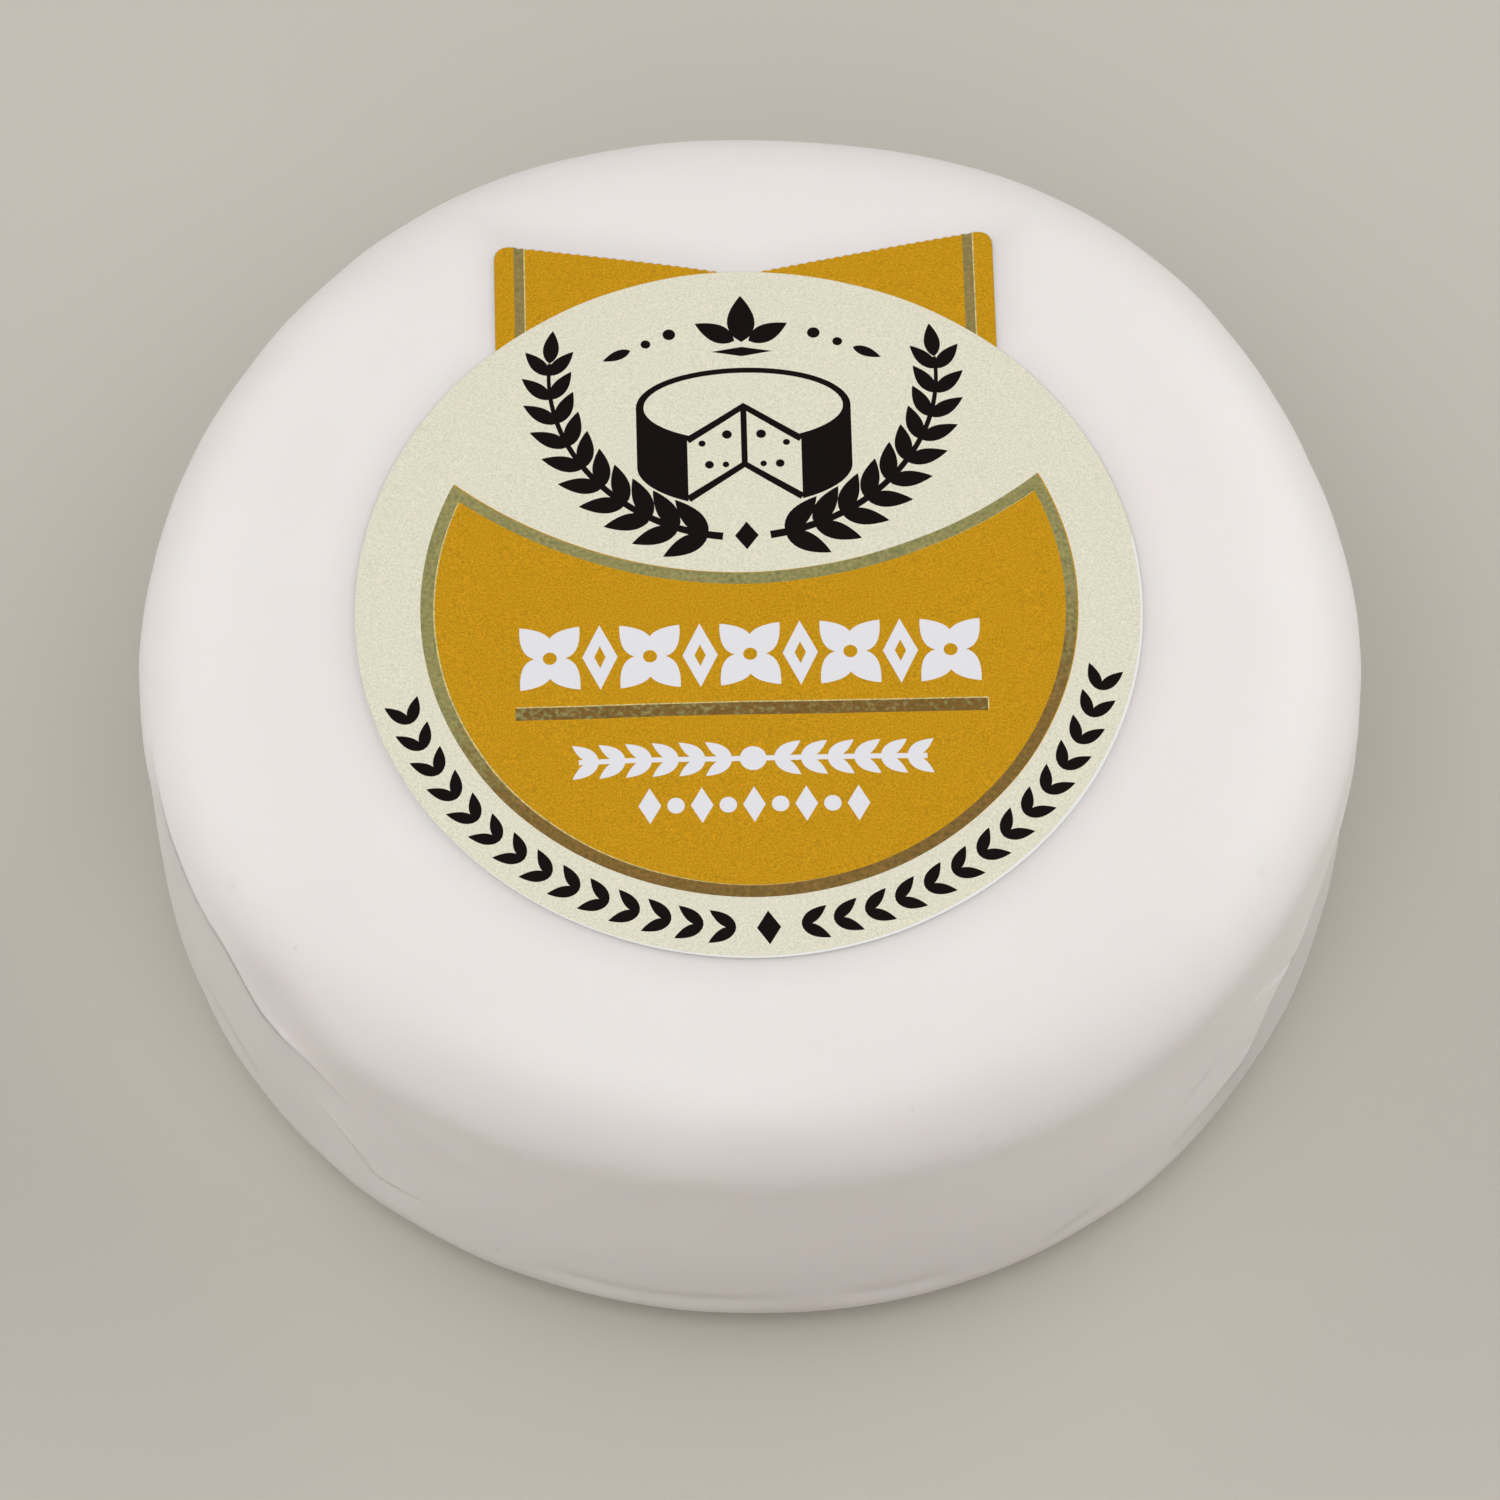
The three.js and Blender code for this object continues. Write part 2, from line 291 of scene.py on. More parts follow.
# The height of the wax's top at any place on it
def waxHeight(x, y):
    distance = np.hypot(x, y)
    reach = (distance / truckle["radius"]) ** truckle["reliefPower"]
    out = distance - sideRelief(np.arctan2(y, x), truckle["height"] + 0 * x, distance) * reach
    z = topHeight(out) + topRelief(x, y)
    return z + waver(x, y, z)


# Distances and heights of the plain round form, from the middle of its top to the middle of its base
def truckleProfile():
    top = np.linspace(0, flatRadius, truckle["topSteps"], endpoint=False)
    turn = np.linspace(0, np.pi / 2, truckle["shoulderSteps"], endpoint=False)
    shoulder = flatRadius + truckle["shoulderWidth"] * np.sin(turn) ** (2 / truckle["shoulderPower"])
    over = np.r_[top, shoulder]
    down = np.linspace(0, 1, truckle["wallSteps"], endpoint=False)
    wallRadius = truckle["radius"] - truckle["wallTaper"] * down
    wall = np.c_[wallRadius, wallTop + (truckle["footRadius"] - wallTop) * down]
    turn = np.linspace(0, np.pi / 2, truckle["footSteps"] + 1)
    curve = truckle["footRadius"]
    foot = np.c_[baseRadius + curve * np.cos(turn), curve * (1 - np.sin(turn))]
    inward = np.linspace(baseRadius, 0, truckle["baseSteps"] + 1)[1:]
    return np.r_[np.c_[over, topHeight(over)], wall, foot, np.c_[inward, 0 * inward]]


def meshObject(name, points, faces):
    mesh = bpy.data.meshes.new(name)
    mesh.from_pydata([tuple(p) for p in np.asarray(points) * mm], [], faces)
    mesh.validate()
    mesh.update()
    mesh.polygons.foreach_set("use_smooth", [True] * len(mesh.polygons))
    made = bpy.data.objects.new(name, mesh)
    bpy.context.scene.collection.objects.link(made)
    return made


def makeTruckle():
    profile = truckleProfile()
    steps = truckle["azimuthSteps"]
    azimuth = np.linspace(0, 2 * np.pi, steps, endpoint=False)[None, :]
    distance, z = profile[1:-1, 0][:, None], profile[1:-1, 1][:, None] + 0 * azimuth
    inDegrees = np.degrees(azimuth)
    relief = sideRelief(azimuth, z, distance)
    cracked = [fold for fold in folds if "crack" in fold]
    # painted shade in the cracks and just under the lips
    creases = sum(crackShare(fold, inDegrees, z) + underLip(fold, inDegrees, z) for fold in cracked)
    # painted shade low on the wall and on the wall below the cracked folds
    paintedShade = truckle["footShade"] * (1 - smoothstep(z, *truckle["footShadeHeights"]))
    paintedShade = paintedShade + sum(belowFold(fold, inDegrees, z) for fold in cracked)
    dots = [{"from": place, "to": (place[0], place[1] + pitLength), **pit} for place in pits]
    for wrinkle in [*wrinkles, *dots]:
        depth = wrinkleDepth(wrinkle, inDegrees, z)
        relief = relief - depth
        # painted shade in wrinkles and pits, darker the deeper they are
        creases = creases + np.maximum(0, depth) / truckle["darkestDepth"]
    out = distance + relief * (distance / truckle["radius"]) ** truckle["reliefPower"]
    x, y = out * np.cos(azimuth), out * np.sin(azimuth)
    isTop = z >= wallTop - roundOff
    lifted = z + np.where(isTop, topRelief(x, y), 0)
    # the waver moves the top up and down and the wall in and out, and leaves the base flat
    wander = waver(x, y, lifted)
    upright = smoothstep(distance, flatRadius, truckle["radius"]) * smoothstep(z, 0.0, truckle["waverRise"])
    outward = 1 + (wander - truckle["waverInset"]) * upright / out
    x, y = x * outward, y * outward
    lifted = lifted + wander * (1 - upright) * isTop
    rings = len(profile) - 2
    points = [(0, 0, waxHeight(np.array([0.0]), np.array([0.0]))[0])]
    points += np.stack([x, y, lifted], -1).reshape(-1, 3).tolist() + [(0, 0, 0)]
    last = len(points) - 1
    faces = []
    for i in range(steps):
        n = (i + 1) % steps
        faces.append((0, 1 + i, 1 + n))
        faces.append((last - steps + i, last, last - steps + n))
        for ring in range(rings - 1):
            upper = 1 + ring * steps
            lower = upper + steps
            faces.append((upper + i, lower + i, lower + n, upper + n))
    made = meshObject("wax_coat", points, faces)
    for name, values in (("crease", np.minimum(1, creases)), ("paintedShade", paintedShade)):
        mask = made.data.attributes.new(name, "FLOAT", "POINT")
        mask.data.foreach_set("value", np.r_[0, values.ravel(), 0])
    return made


# The paper label's cut and print, round the disc's own middle with the tab towards +Y
label = {
    "radius": 28.0,
    "centre": (-0.13, -1.0),
    "turn": 1.4,
    "tabHalfWidth": 18.03,
    "tabAside": 0.33,  # the tab isn't quite in the middle of the disc
    "tabLength": 31.43,
    "tabLean": 0.26,  # its right corner reaches further than its left
    "tabCorner": 1.5,
    "notchHalfWidth": 1.15,
    "toothPitch": 0.66,  # the tab was torn along a fine perforation
    "toothDepth": 0.11,
    "thickness": 0.13,
    "gap": 0.06,
    "rimLift": 0.03,  # the cut edge stands a little off the wax
    "rimWidth": 0.4,
    "cornerSteps": 7,
    "betweenSteps": 9,  # on the disc's edge between the tab's two halves
    "discSteps": 200,
    "borderStep": 0.4,
    "gridStep": 1.1,
    "gridShare": 0.985,  # the grid stays this far inside the cut edge
    "joinWithin": 1e-4,
    "sharpAngle": 40,
    "bareEdge": (-0.10, 0.07, 27.94),  # the cream ends in this circle, and white paper shows past it
    "panelRadius": 23.34,  # the foil line's outer edge
    "archRadius": 31.78,
    "archCentre": 34.45,
    "foilWidth": 0.92,
    "shift": 0.1,  # the ochre is printed a little to one side of the foil
    "shiftUnder": (0.8, 0.4),  # shares of that to the right and away, at the foil's outer edge
    "shiftOver": (1, 0.3),  # and inside the foil
    "glint": 0.09,  # a pale line in the gaps beside the foil, coloured as a painted highlight on a raised edge
    "stripes": (-15.92, 16.55),
    "stripeWidth": 0.71,
    "bar": {"halfWidth": 16.7, "middle": -8.43, "height": 1.0},
}
inks = ["cream", "ochre", "foil", "barFoil", "tabFoil", "black", "white", "glint", "paper"]


def circlePoints(centre, radiusX, radiusY, count, start=0.0, end=360.0):
    turn = np.radians(np.linspace(start, end, count, endpoint=end - start < 360))
    return np.c_[centre[0] + radiusX * np.cos(turn), centre[1] + radiusY * np.sin(turn)]


def turned(points, degrees, at=(0, 0)):
    c, s = math.cos(math.radians(degrees)), math.sin(math.radians(degrees))
    return np.asarray(points) @ np.array([[c, s], [-s, c]]) + np.array(at)


leafForm = {"steps": 11, "belly": 0.8, "roundness": 0.9}


def leaf(length, width, at, degrees):
    t = np.linspace(0, 1, leafForm["steps"])
    half = width / 2 * np.sin(np.pi * t ** leafForm["belly"]) ** leafForm["roundness"]
    upper, lower = np.c_[t * length, half], np.c_[t * length, -half][::-1]
    return turned(np.r_[upper, lower[1:-1]], degrees, at)


def lozenge(width, height, at, degrees=0):
    return turned([(width / 2, 0), (0, height / 2), (-width / 2, 0), (0, -height / 2)], degrees, at)


def ribbon(line, widths):
    line = np.asarray(line)
    along = np.gradient(line, axis=0)
    along /= np.linalg.norm(along, axis=1)[:, None]
    side = np.c_[-along[:, 1], along[:, 0]] * np.asarray(widths)[:, None] / 2
    return np.r_[line + side, (line - side)[::-1]]


def mirrored(shapes):
    return [*shapes, *[s * np.array([-1, 1]) for s in shapes]]


# Splits long stretches of a line, so that the label's mesh can follow the wax under it
def finer(line, step, closed):
    line = np.asarray(line)
    ends = np.roll(line, -1, 0) if closed else line[1:]
    result = []
    for start, end in zip(line, ends):
        parts = max(1, math.ceil(np.linalg.norm(end - start) / step))
        result += [start + (end - start) * i / parts for i in range(parts)]
    return result if closed else [*result, line[-1]]


def shrunk(points, share):
    middle = points.mean(0)
    return middle + (points - middle) * share


def inside(points, polygon):
    x, y = points[:, 0], points[:, 1]
    result = np.zeros(len(points), bool)
    for (x0, y0), (x1, y1) in zip(polygon, np.roll(polygon, -1, 0)):
        if y0 == y1:
            continue
        crosses = (y0 > y) != (y1 > y)
        result ^= crosses & (x < (x1 - x0) * (y - y0) / (y1 - y0) + x0)
    return result


# The die-cut edge, with the tab's torn end as fine teeth
def labelOutline():
    r = label["radius"]
    halves = []
    for side in (1, -1):
        edge = label["tabHalfWidth"] + side * label["tabAside"]
        notchX = label["notchHalfWidth"]
        notch = np.array([notchX, math.sqrt(r * r - notchX * notchX)])
        corner = np.array([edge, label["tabLength"] + side * label["tabLean"]])
        inward = (notch - corner) / np.linalg.norm(notch - corner)
        start, end = corner - [0, label["tabCorner"]], corner + inward * label["tabCorner"]
        t = np.linspace(0, 1, label["cornerSteps"])[:, None]
        rounded = (1 - t) ** 2 * start + 2 * t * (1 - t) * corner + t ** 2 * end
        teeth = max(2, round(np.linalg.norm(notch - end) / label["toothPitch"]))
        t = np.linspace(0, 1, 2 * teeth + 1)[1:-1, None]
        torn = end + t * (notch - end)
        torn[::2] += label["toothDepth"] * np.array([-inward[1], inward[0]])
        halves.append(np.r_[rounded, torn, [notch]] * [side, 1])
    right, left = halves
    towards = [math.degrees(math.atan2(half[-1][1], half[-1][0])) for half in halves]
    sides = [side * label["tabHalfWidth"] + label["tabAside"] for side in (1, -1)]
    meets = [math.degrees(math.acos(x / r)) for x in sides]
    between = circlePoints((0, 0), r, r, label["betweenSteps"], *towards)[1:-1]
    disc = circlePoints((0, 0), r, r, label["discSteps"], meets[1], 360 + meets[0])
    return np.r_[right, between, left[::-1], disc]


# The picture in the upper field: a cut wheel of cheese in a wreath of leaves, under a small crown
wheel = {
    "across": 7.7, "deep": 3.3, "top": 16.4, "thick": 5.0, "line": 0.55, "cut": 58, "faceLine": 0.8,
    # how far along the cut and down its face, and the radius
    "holes": [(0.3, 1.5, 0.36), (0.62, 3.1, 0.32), (0.74, 1.0, 0.26), (0.33, 3.9, 0.24)],
}
wreath = {
    "width": 13.9, "height": 13.4, "middle": 19.0, "from": 277, "to": 366, "stem": (0.62, 0.26),
    "pairs": 10, "first": 0.6, "leaf": 3.7, "shrinks": 0.03, "leafWidth": 0.4, "lean": 40,
    "tip": (2.9, 1.15),
}
crown = {
    "middle": {"length": 4.0, "width": 2.0, "at": (0, 21.9), "degrees": 90},
    "beside": {"length": 3.2, "width": 1.5, "at": (0.5, 22.0), "degrees": 28},
    "outer": {"length": 2.2, "width": 0.8, "at": (8.0, 21.3), "degrees": -24},
    "foot": {"width": 4.4, "height": 0.8, "at": (0, 21.1)},
    "dots": [((5.2, 22.6), 0.46, 0.46, 16), ((6.9, 21.8), 0.36, 0.36, 14)],
}
knot = {"width": 1.7, "height": 2.3, "at": (0, 5.7)}


def emblem():
    w, d, top, line = wheel["across"], wheel["deep"], wheel["top"], wheel["line"]
    low = top - wheel["thick"]
    cutX = w * math.cos(math.radians(wheel["cut"]))
    cutY = d * math.sin(math.radians(wheel["cut"]))
    behind = circlePoints((0, top), w, d, count=40, start=0, end=180)
    drum = np.r_[behind, circlePoints((0, low), w, d, count=40, start=180, end=360)]
    thin = line * wheel["faceLine"]
    face = circlePoints((0, top), w - line, d - thin, count=60)
    upper, under = [(-cutX, top - cutY), (0, top), (cutX, top - cutY)], low - d - 1
    notch = [upper[1], upper[2], (cutX, under), (-cutX, under), upper[0]]
    foot = low + line / 3
    lower = [(-cutX, low - cutY + line / 3), (0, foot), (cutX, low - cutY + line / 3)]
    seams = [ribbon(upper, [line] * 3), ribbon(lower, [line] * 3), ribbon([(0, top), (0, low)], [thin] * 2)]
    holes = [circlePoints((-cutX * a, top - cutY * a - b), r, r, count=14) for a, b, r in wheel["holes"]]
    stemTurn = np.radians(np.linspace(wreath["from"], wreath["to"], 101))
    stem = np.c_[wreath["width"] * np.cos(stemTurn), wreath["middle"] + wreath["height"] * np.sin(stemTurn)]
    sprig = [ribbon(stem, np.linspace(*wreath["stem"], len(stem)))]
    for i in range(wreath["pairs"]):
        at = int((i + wreath["first"]) / wreath["pairs"] * (len(stem) - 2))
        heading = math.degrees(math.atan2(*(stem[at + 1] - stem[at])[::-1]))
        size = wreath["leaf"] * (1 - wreath["shrinks"] * i)
        leans = (wreath["lean"], -wreath["lean"])
        sprig += [leaf(size, size * wreath["leafWidth"], stem[at], heading + lean) for lean in leans]
    heading = math.degrees(math.atan2(*(stem[-1] - stem[-2])[::-1]))
    sprig.append(leaf(*wreath["tip"], stem[-1], heading))
    over = [leaf(**crown["middle"]), *mirrored([leaf(**crown["beside"])]), lozenge(**crown["foot"])]
    over += mirrored([circlePoints(*dot) for dot in crown["dots"]]) + mirrored([leaf(**crown["outer"])])
    return [
        ("black", [drum]),
        ("cream", [face, np.array(notch)]),
        ("black", [*seams, *mirrored(holes), *mirrored(sprig), *over, lozenge(**knot)]),
    ]


# A white frieze, branch and row of beads in the ochre field, and black leaves along the rim
frieze = {
    "middle": -4.0, "height": 5.2, "pitch": 3.55, "count": 4, "lozenge": 2.5, "slit": (0.8, 0.34),
    "petal": (3.3, 2.1), "petalTurns": (50, 130, 230, 310), "eye": 0.5,
}
branch = {
    "middle": -12.45, "reach": 12.3, "stem": 0.4, "bud": 0.95, "leaves": 6, "leaf": (2.3, 0.95),
    "first": 1.5, "between": 2.9, "lean": 36,
}
beads = {"middle": -16.1, "pitch": 1.84, "count": 4, "round": 0.62, "lozenge": (1.6, 2.8)}
rim = {
    "radius": 25.7, "from": 197.5, "to": 346, "lozenge": (1.7, 2.6),
    "leaves": 14, "leaf": (2.3, 0.9), "lean": 33,
}


def ornament():
    white, ochre, black = [], [], []
    for i in range(-frieze["count"], frieze["count"] + 1):
        at = (i * frieze["pitch"], frieze["middle"])
        if i % 2:
            slitWidth, slitShare = frieze["slit"]
            white.append(lozenge(frieze["lozenge"], frieze["height"], at))
            ochre.append(lozenge(slitWidth, frieze["height"] * slitShare, at))
        else:
            white += [leaf(*frieze["petal"], at, turn) for turn in frieze["petalTurns"]]
            ochre.append(circlePoints(at, frieze["eye"], frieze["eye"], count=18))
    middle, reach = branch["middle"], branch["reach"]
    white.append(circlePoints((0, middle), branch["bud"], branch["bud"], count=24))
    white.append(ribbon([(-reach, middle), (reach, middle)], [branch["stem"]] * 2))
    for i in range(branch["leaves"]):
        at = (branch["first"] + i * (reach - branch["between"]) / (branch["leaves"] - 1), middle)
        white += mirrored([leaf(*branch["leaf"], at, lean) for lean in (branch["lean"], -branch["lean"])])
    for i in range(-beads["count"], beads["count"] + 1):
        at = (i * beads["pitch"], beads["middle"])
        bead = circlePoints(at, beads["round"], beads["round"], count=18)
        white.append(bead if i % 2 else lozenge(*beads["lozenge"], at))

    def onRim(turn):
        return np.array([math.cos(math.radians(turn)), math.sin(math.radians(turn))]) * rim["radius"]

    lowest = (rim["from"] + rim["to"]) / 2
    step = (rim["to"] - rim["from"]) / 2 / (rim["leaves"] + 0.5)
    black.append(lozenge(*rim["lozenge"], onRim(lowest), lowest + 90))
    for side in (-1, 1):
        for i in range(rim["leaves"]):
            turn = lowest + side * (i + 1) * step
            along = turn + side * 90
            leans = (rim["lean"], -rim["lean"])
            black += [leaf(*rim["leaf"], onRim(turn), along + lean) for lean in leans]
    return [("white", white), ("ochre", ochre), ("black", black)]


# The label's print as layers from the paper up: an ink, a test for what it covers, and its edges
def printLayers():
    r, width = label["radius"], label["foilWidth"]
    panelR, archR, archY = label["panelRadius"], label["archRadius"], label["archCentre"]

    def panel(inset, shiftX=0.0, shiftY=0.0):
        def covers(p):
            x, y = p[:, 0] - shiftX, p[:, 1] - shiftY
            return (np.hypot(x, y) < panelR - inset) & (np.hypot(x, y - archY) > archR + inset)

        arch = (shiftX, archY + shiftY)
        edges = [
            circlePoints((shiftX, shiftY), panelR - inset, panelR - inset, count=240),
            circlePoints(arch, archR + inset, archR + inset, count=120, start=228, end=312),
        ]
        return covers, edges

    def shape(points):
        return lambda p: inside(p, points), [np.r_[points, points[:1]]]

    def stripe(x, halfWidth):
        covers = lambda p: (abs(p[:, 0] - x) < halfWidth) & (np.hypot(p[:, 0], p[:, 1]) > r)
        sides = (x - halfWidth, x + halfWidth)
        # from inside the disc to past the tab's end
        return covers, [np.array([(side, r * 0.7), (side, r * 1.2)]) for side in sides]

    tabFoot = circlePoints((0, 0), r, r, count=60, start=45, end=135)
    layers = [("ochre", lambda p: np.hypot(p[:, 0], p[:, 1]) > r, [tabFoot])]
    bareX, bareY, bareR = label["bareEdge"]
    layers.append((
        "paper",
        lambda p: (np.hypot(p[:, 0] - bareX, p[:, 1] - bareY) > bareR) & (p[:, 1] < r / 2),
        [circlePoints((bareX, bareY), bareR, bareR, count=200, start=180, end=370)],
    ))
    # The glint ink is a painted highlight along the foil's edges, in the gaps that the shifted ochre leaves
    shift, glint = label["shift"], label["glint"]
    for x in label["stripes"]:
        layers.append(("glint", *stripe(x + glint / 2, (label["stripeWidth"] + glint) / 2)))
        layers.append(("tabFoil", *stripe(x, label["stripeWidth"] / 2)))
    layers.append(("ochre", *panel(0, *[shift * share for share in label["shiftUnder"]])))
    layers.append(("foil", *panel(0)))
    layers.append(("glint", *panel(width)))
    layers.append(("ochre", *panel(width, *[shift * share for share in label["shiftOver"]])))
    bar = label["bar"]
    for ink, moved in (("glint", glint), ("barFoil", 0.0)):
        y = bar["middle"] + moved
        line = [(-bar["halfWidth"] + moved, y), (bar["halfWidth"] + moved, y)]
        layers.append((ink, *shape(ribbon(line, [bar["height"]] * 2))))
    for ink, shapes in [*emblem(), *ornament()]:
        layers += [(ink, *shape(points)) for points in shapes]
    return layers


def makeLabel():
    outline = labelOutline()
    layers = printLayers()
    points, edges = [], []

    def addLine(line, closed=False):
        line = finer(line, label["gridStep"], closed)
        first = len(points)
        points.extend(Vector(p) for p in line)
        edges.extend((first + i, first + i + 1) for i in range(len(line) - 1))
        if closed:
            edges.append((len(points) - 1, first))

    addLine(outline, closed=True)
    for _, _, lines in layers:
        for line in lines:
            addLine(line)
    step = label["gridStep"]
    reach = label["tabLength"] + step
    across = np.arange(-reach, reach, step)
    grid = np.stack(np.meshgrid(across, across), -1).reshape(-1, 2)
    grid[:, 0] += (np.round(grid[:, 1] / step) % 2) * step / 2
    points.extend(Vector(p) for p in grid[inside(grid, shrunk(outline, label["gridShare"]))])
    flat, _, faces, *_ = delaunay_2d_cdt(points, edges, [], 0, label["joinWithin"])
    flat = np.array([tuple(p) for p in flat])
    faces = np.array([f for f in faces if len(f) == 3])
    middle = flat[faces].mean(1)
    faces, middle = faces[inside(middle, outline)], middle[inside(middle, outline)]
    ink = np.full(len(faces), inks.index("cream"))
    for name, covers, _ in layers:
        ink[covers(middle)] = inks.index(name)
    used = np.unique(faces)
    order = np.full(len(flat), -1)
    order[used] = np.arange(len(used))
    flat, faces = flat[used], order[faces]
    placed = turned(flat, label["turn"], label["centre"])
    border = np.array(finer(outline, label["borderStep"], True))
    fromEdge = np.array([np.sqrt(((border - p) ** 2).sum(1).min()) for p in flat])
    lift = label["rimLift"] * np.exp(-fromEdge / label["rimWidth"])
    lower = waxHeight(placed[:, 0], placed[:, 1]) + label["gap"] + lift
    upper = lower + label["thickness"]
    count = len(flat)
    allFaces = [tuple(f) for f in faces] + [tuple(f[::-1] + count) for f in faces]
    # the cut edge: triangle sides that only one triangle has
    sides = np.r_[faces[:, [0, 1]], faces[:, [1, 2]], faces[:, [2, 0]]]
    _, firsts, counts = np.unique(np.sort(sides, 1), axis=0, return_index=True, return_counts=True)
    cut = sides[firsts[counts == 1]]
    allFaces += [(b, a, a + count, b + count) for a, b in cut.tolist()]
    made = meshObject("printed_label", np.r_[np.c_[placed, upper], np.c_[placed, lower]], allFaces)
    made.data.set_sharp_from_angle(angle=math.radians(label["sharpAngle"]))
    for name in inks:
        made.data.materials.append(inkMaterial(name))
    slots = list(ink) + [inks.index("paper")] * (len(faces) + len(cut))
    made.data.polygons.foreach_set("material_index", slots)
    print("label:", len(faces), "print faces,", len(cut), "cut edge faces")
    return made


# Gives a node's sockets their values
def setSockets(node, values):
    for socket, value in values.items():
        node.inputs[socket].default_value = value


# A node at a place in its tree's editor, with its sockets' values and its settings
def newNode(tree, kind, x, y, sockets=None, **settings):
    node = tree.nodes.new(kind)
    node.location = (x, y)
    for name, value in settings.items():
        setattr(node, name, value)
    setSockets(node, sockets or {})
    return node


# A material with its shader's own values
def newMaterial(name, sockets):
    material = bpy.data.materials.new(name)
    material.use_nodes = True
    setSockets(material.node_tree.nodes["Principled BSDF"], sockets)
    return material


# The print's grain: most of it is light and dark, and a quarter is in the hue
grainValues = {"detail": 1.5, "roughness": 0.6, "hue": 0.34}


def grainGroup():
    group = bpy.data.node_groups.new("printGrain", "ShaderNodeTree")
    face = group.interface
    face.new_socket("Colour", in_out="INPUT", socket_type="NodeSocketColor")
    face.new_socket("Size", in_out="INPUT", socket_type="NodeSocketFloat")
    face.new_socket("Contrast", in_out="INPUT", socket_type="NodeSocketFloat")
    face.new_socket("Colour", in_out="OUTPUT", socket_type="NodeSocketColor")
    face.new_socket("Height", in_out="OUTPUT", socket_type="NodeSocketFloat")
    hue = grainValues["hue"]
    texture = {"Detail": grainValues["detail"], "Roughness": grainValues["roughness"]}
    entry = newNode(group, "NodeGroupInput", -900, 0)
    leave = newNode(group, "NodeGroupOutput", 500, 0)
    place = newNode(group, "ShaderNodeTexCoord", -900, 250)
    scale = newNode(group, "ShaderNodeMath", -700, 100, {0: 1.0}, operation="DIVIDE")
    noise = newNode(group, "ShaderNodeTexNoise", -500, 200, texture)
    summed = newNode(group, "ShaderNodeVectorMath", -320, 200, {1: [hue] * 3}, operation="MULTIPLY_ADD")
    # the noise and its colours lie about a half, so this puts their sum about nought
    mean = 0.5 * (1 + hue)
    centred = newNode(group, "ShaderNodeVectorMath", -160, 200, {1: [mean] * 3}, operation="SUBTRACT")
    stronger = newNode(group, "ShaderNodeVectorMath", 0, 200, operation="SCALE")
    whole = newNode(group, "ShaderNodeVectorMath", 160, 200, {1: (1, 1, 1)}, operation="ADD")
    tint = newNode(group, "ShaderNodeVectorMath", 320, 100, operation="MULTIPLY")
    join = group.links.new
    join(entry.outputs["Size"], scale.inputs[1])
    join(scale.outputs[0], noise.inputs["Scale"])
    join(place.outputs["Object"], noise.inputs["Vector"])
    join(noise.outputs["Color"], summed.inputs[0])
    join(noise.outputs["Fac"], summed.inputs[2])
    join(summed.outputs[0], centred.inputs[0])
    join(centred.outputs[0], stronger.inputs[0])
    join(entry.outputs["Contrast"], stronger.inputs["Scale"])
    join(stronger.outputs[0], whole.inputs[0])
    join(entry.outputs["Colour"], tint.inputs[0])
    join(whole.outputs[0], tint.inputs[1])
    join(tint.outputs[0], leave.inputs["Colour"])
    join(noise.outputs["Fac"], leave.inputs["Height"])
    return group


grain = grainGroup()
# Each ink's colour, the size of its grain in metres, how strong the grain is, and how the ink shines
finishes = {
    "cream": {
        "colour": (0.738, 0.708, 0.566), "size": 0.00016, "contrast": 0.5, "rough": 0.55, "shine": 0.25,
    },
    "ochre": {
        "colour": (0.543, 0.277, 0.006), "size": 0.00014, "contrast": 0.95, "rough": 0.5, "shine": 0.12,
    },
    "foil": {
        "colour": (0.273, 0.250, 0.093), "size": 0.0003, "contrast": 1.1, "rough": 0.42, "shine": 0.3,
    },
    "barFoil": {
        "colour": (0.285, 0.262, 0.100), "size": 0.0003, "contrast": 0.8, "rough": 0.42, "shine": 0.3,
    },
    "tabFoil": {
        "colour": (0.262, 0.198, 0.064), "size": 0.0003, "contrast": 0.8, "rough": 0.42, "shine": 0.3,
    },
    "black": {
        "colour": (0.0075, 0.0045, 0.0045), "size": 0.0002, "contrast": 0.2, "rough": 0.6, "shine": 0.05,
    },
    "white": {
        "colour": (0.765, 0.760, 0.790), "size": 0.00013, "contrast": 0.03, "rough": 0.5, "shine": 0.2,
    },
    "glint": {
        "colour": (0.62, 0.52, 0.22), "size": 0.00022, "contrast": 1.5, "rough": 0.4, "shine": 0.3,
    },
    "paper": {
        "colour": (0.81, 0.81, 0.80), "size": 0.0003, "contrast": 0.05, "rough": 0.8, "shine": 0.2,
    },
}
inkBump = {"strength": 0.12, "distance": 0.00003}
# A painted reflection: the foil turns from greenish to brown towards the reader's side, and a little to the
# right, in specks
foilTurns = {
    "foil": {
        "colour": (0.204, 0.119, 0.027), "aside": 0.25, "start": 0.003, "end": 0.015,
        "speck": 0.0004, "speckDetail": 2.0, "mottling": 0.014,
    },
    "barFoil": {
        "colour": (0.186, 0.102, 0.020), "aside": 0.12, "start": 0.0, "end": 0.011,
        "speck": 0.0004, "speckDetail": 2.0, "mottling": 0.034,
    },
}
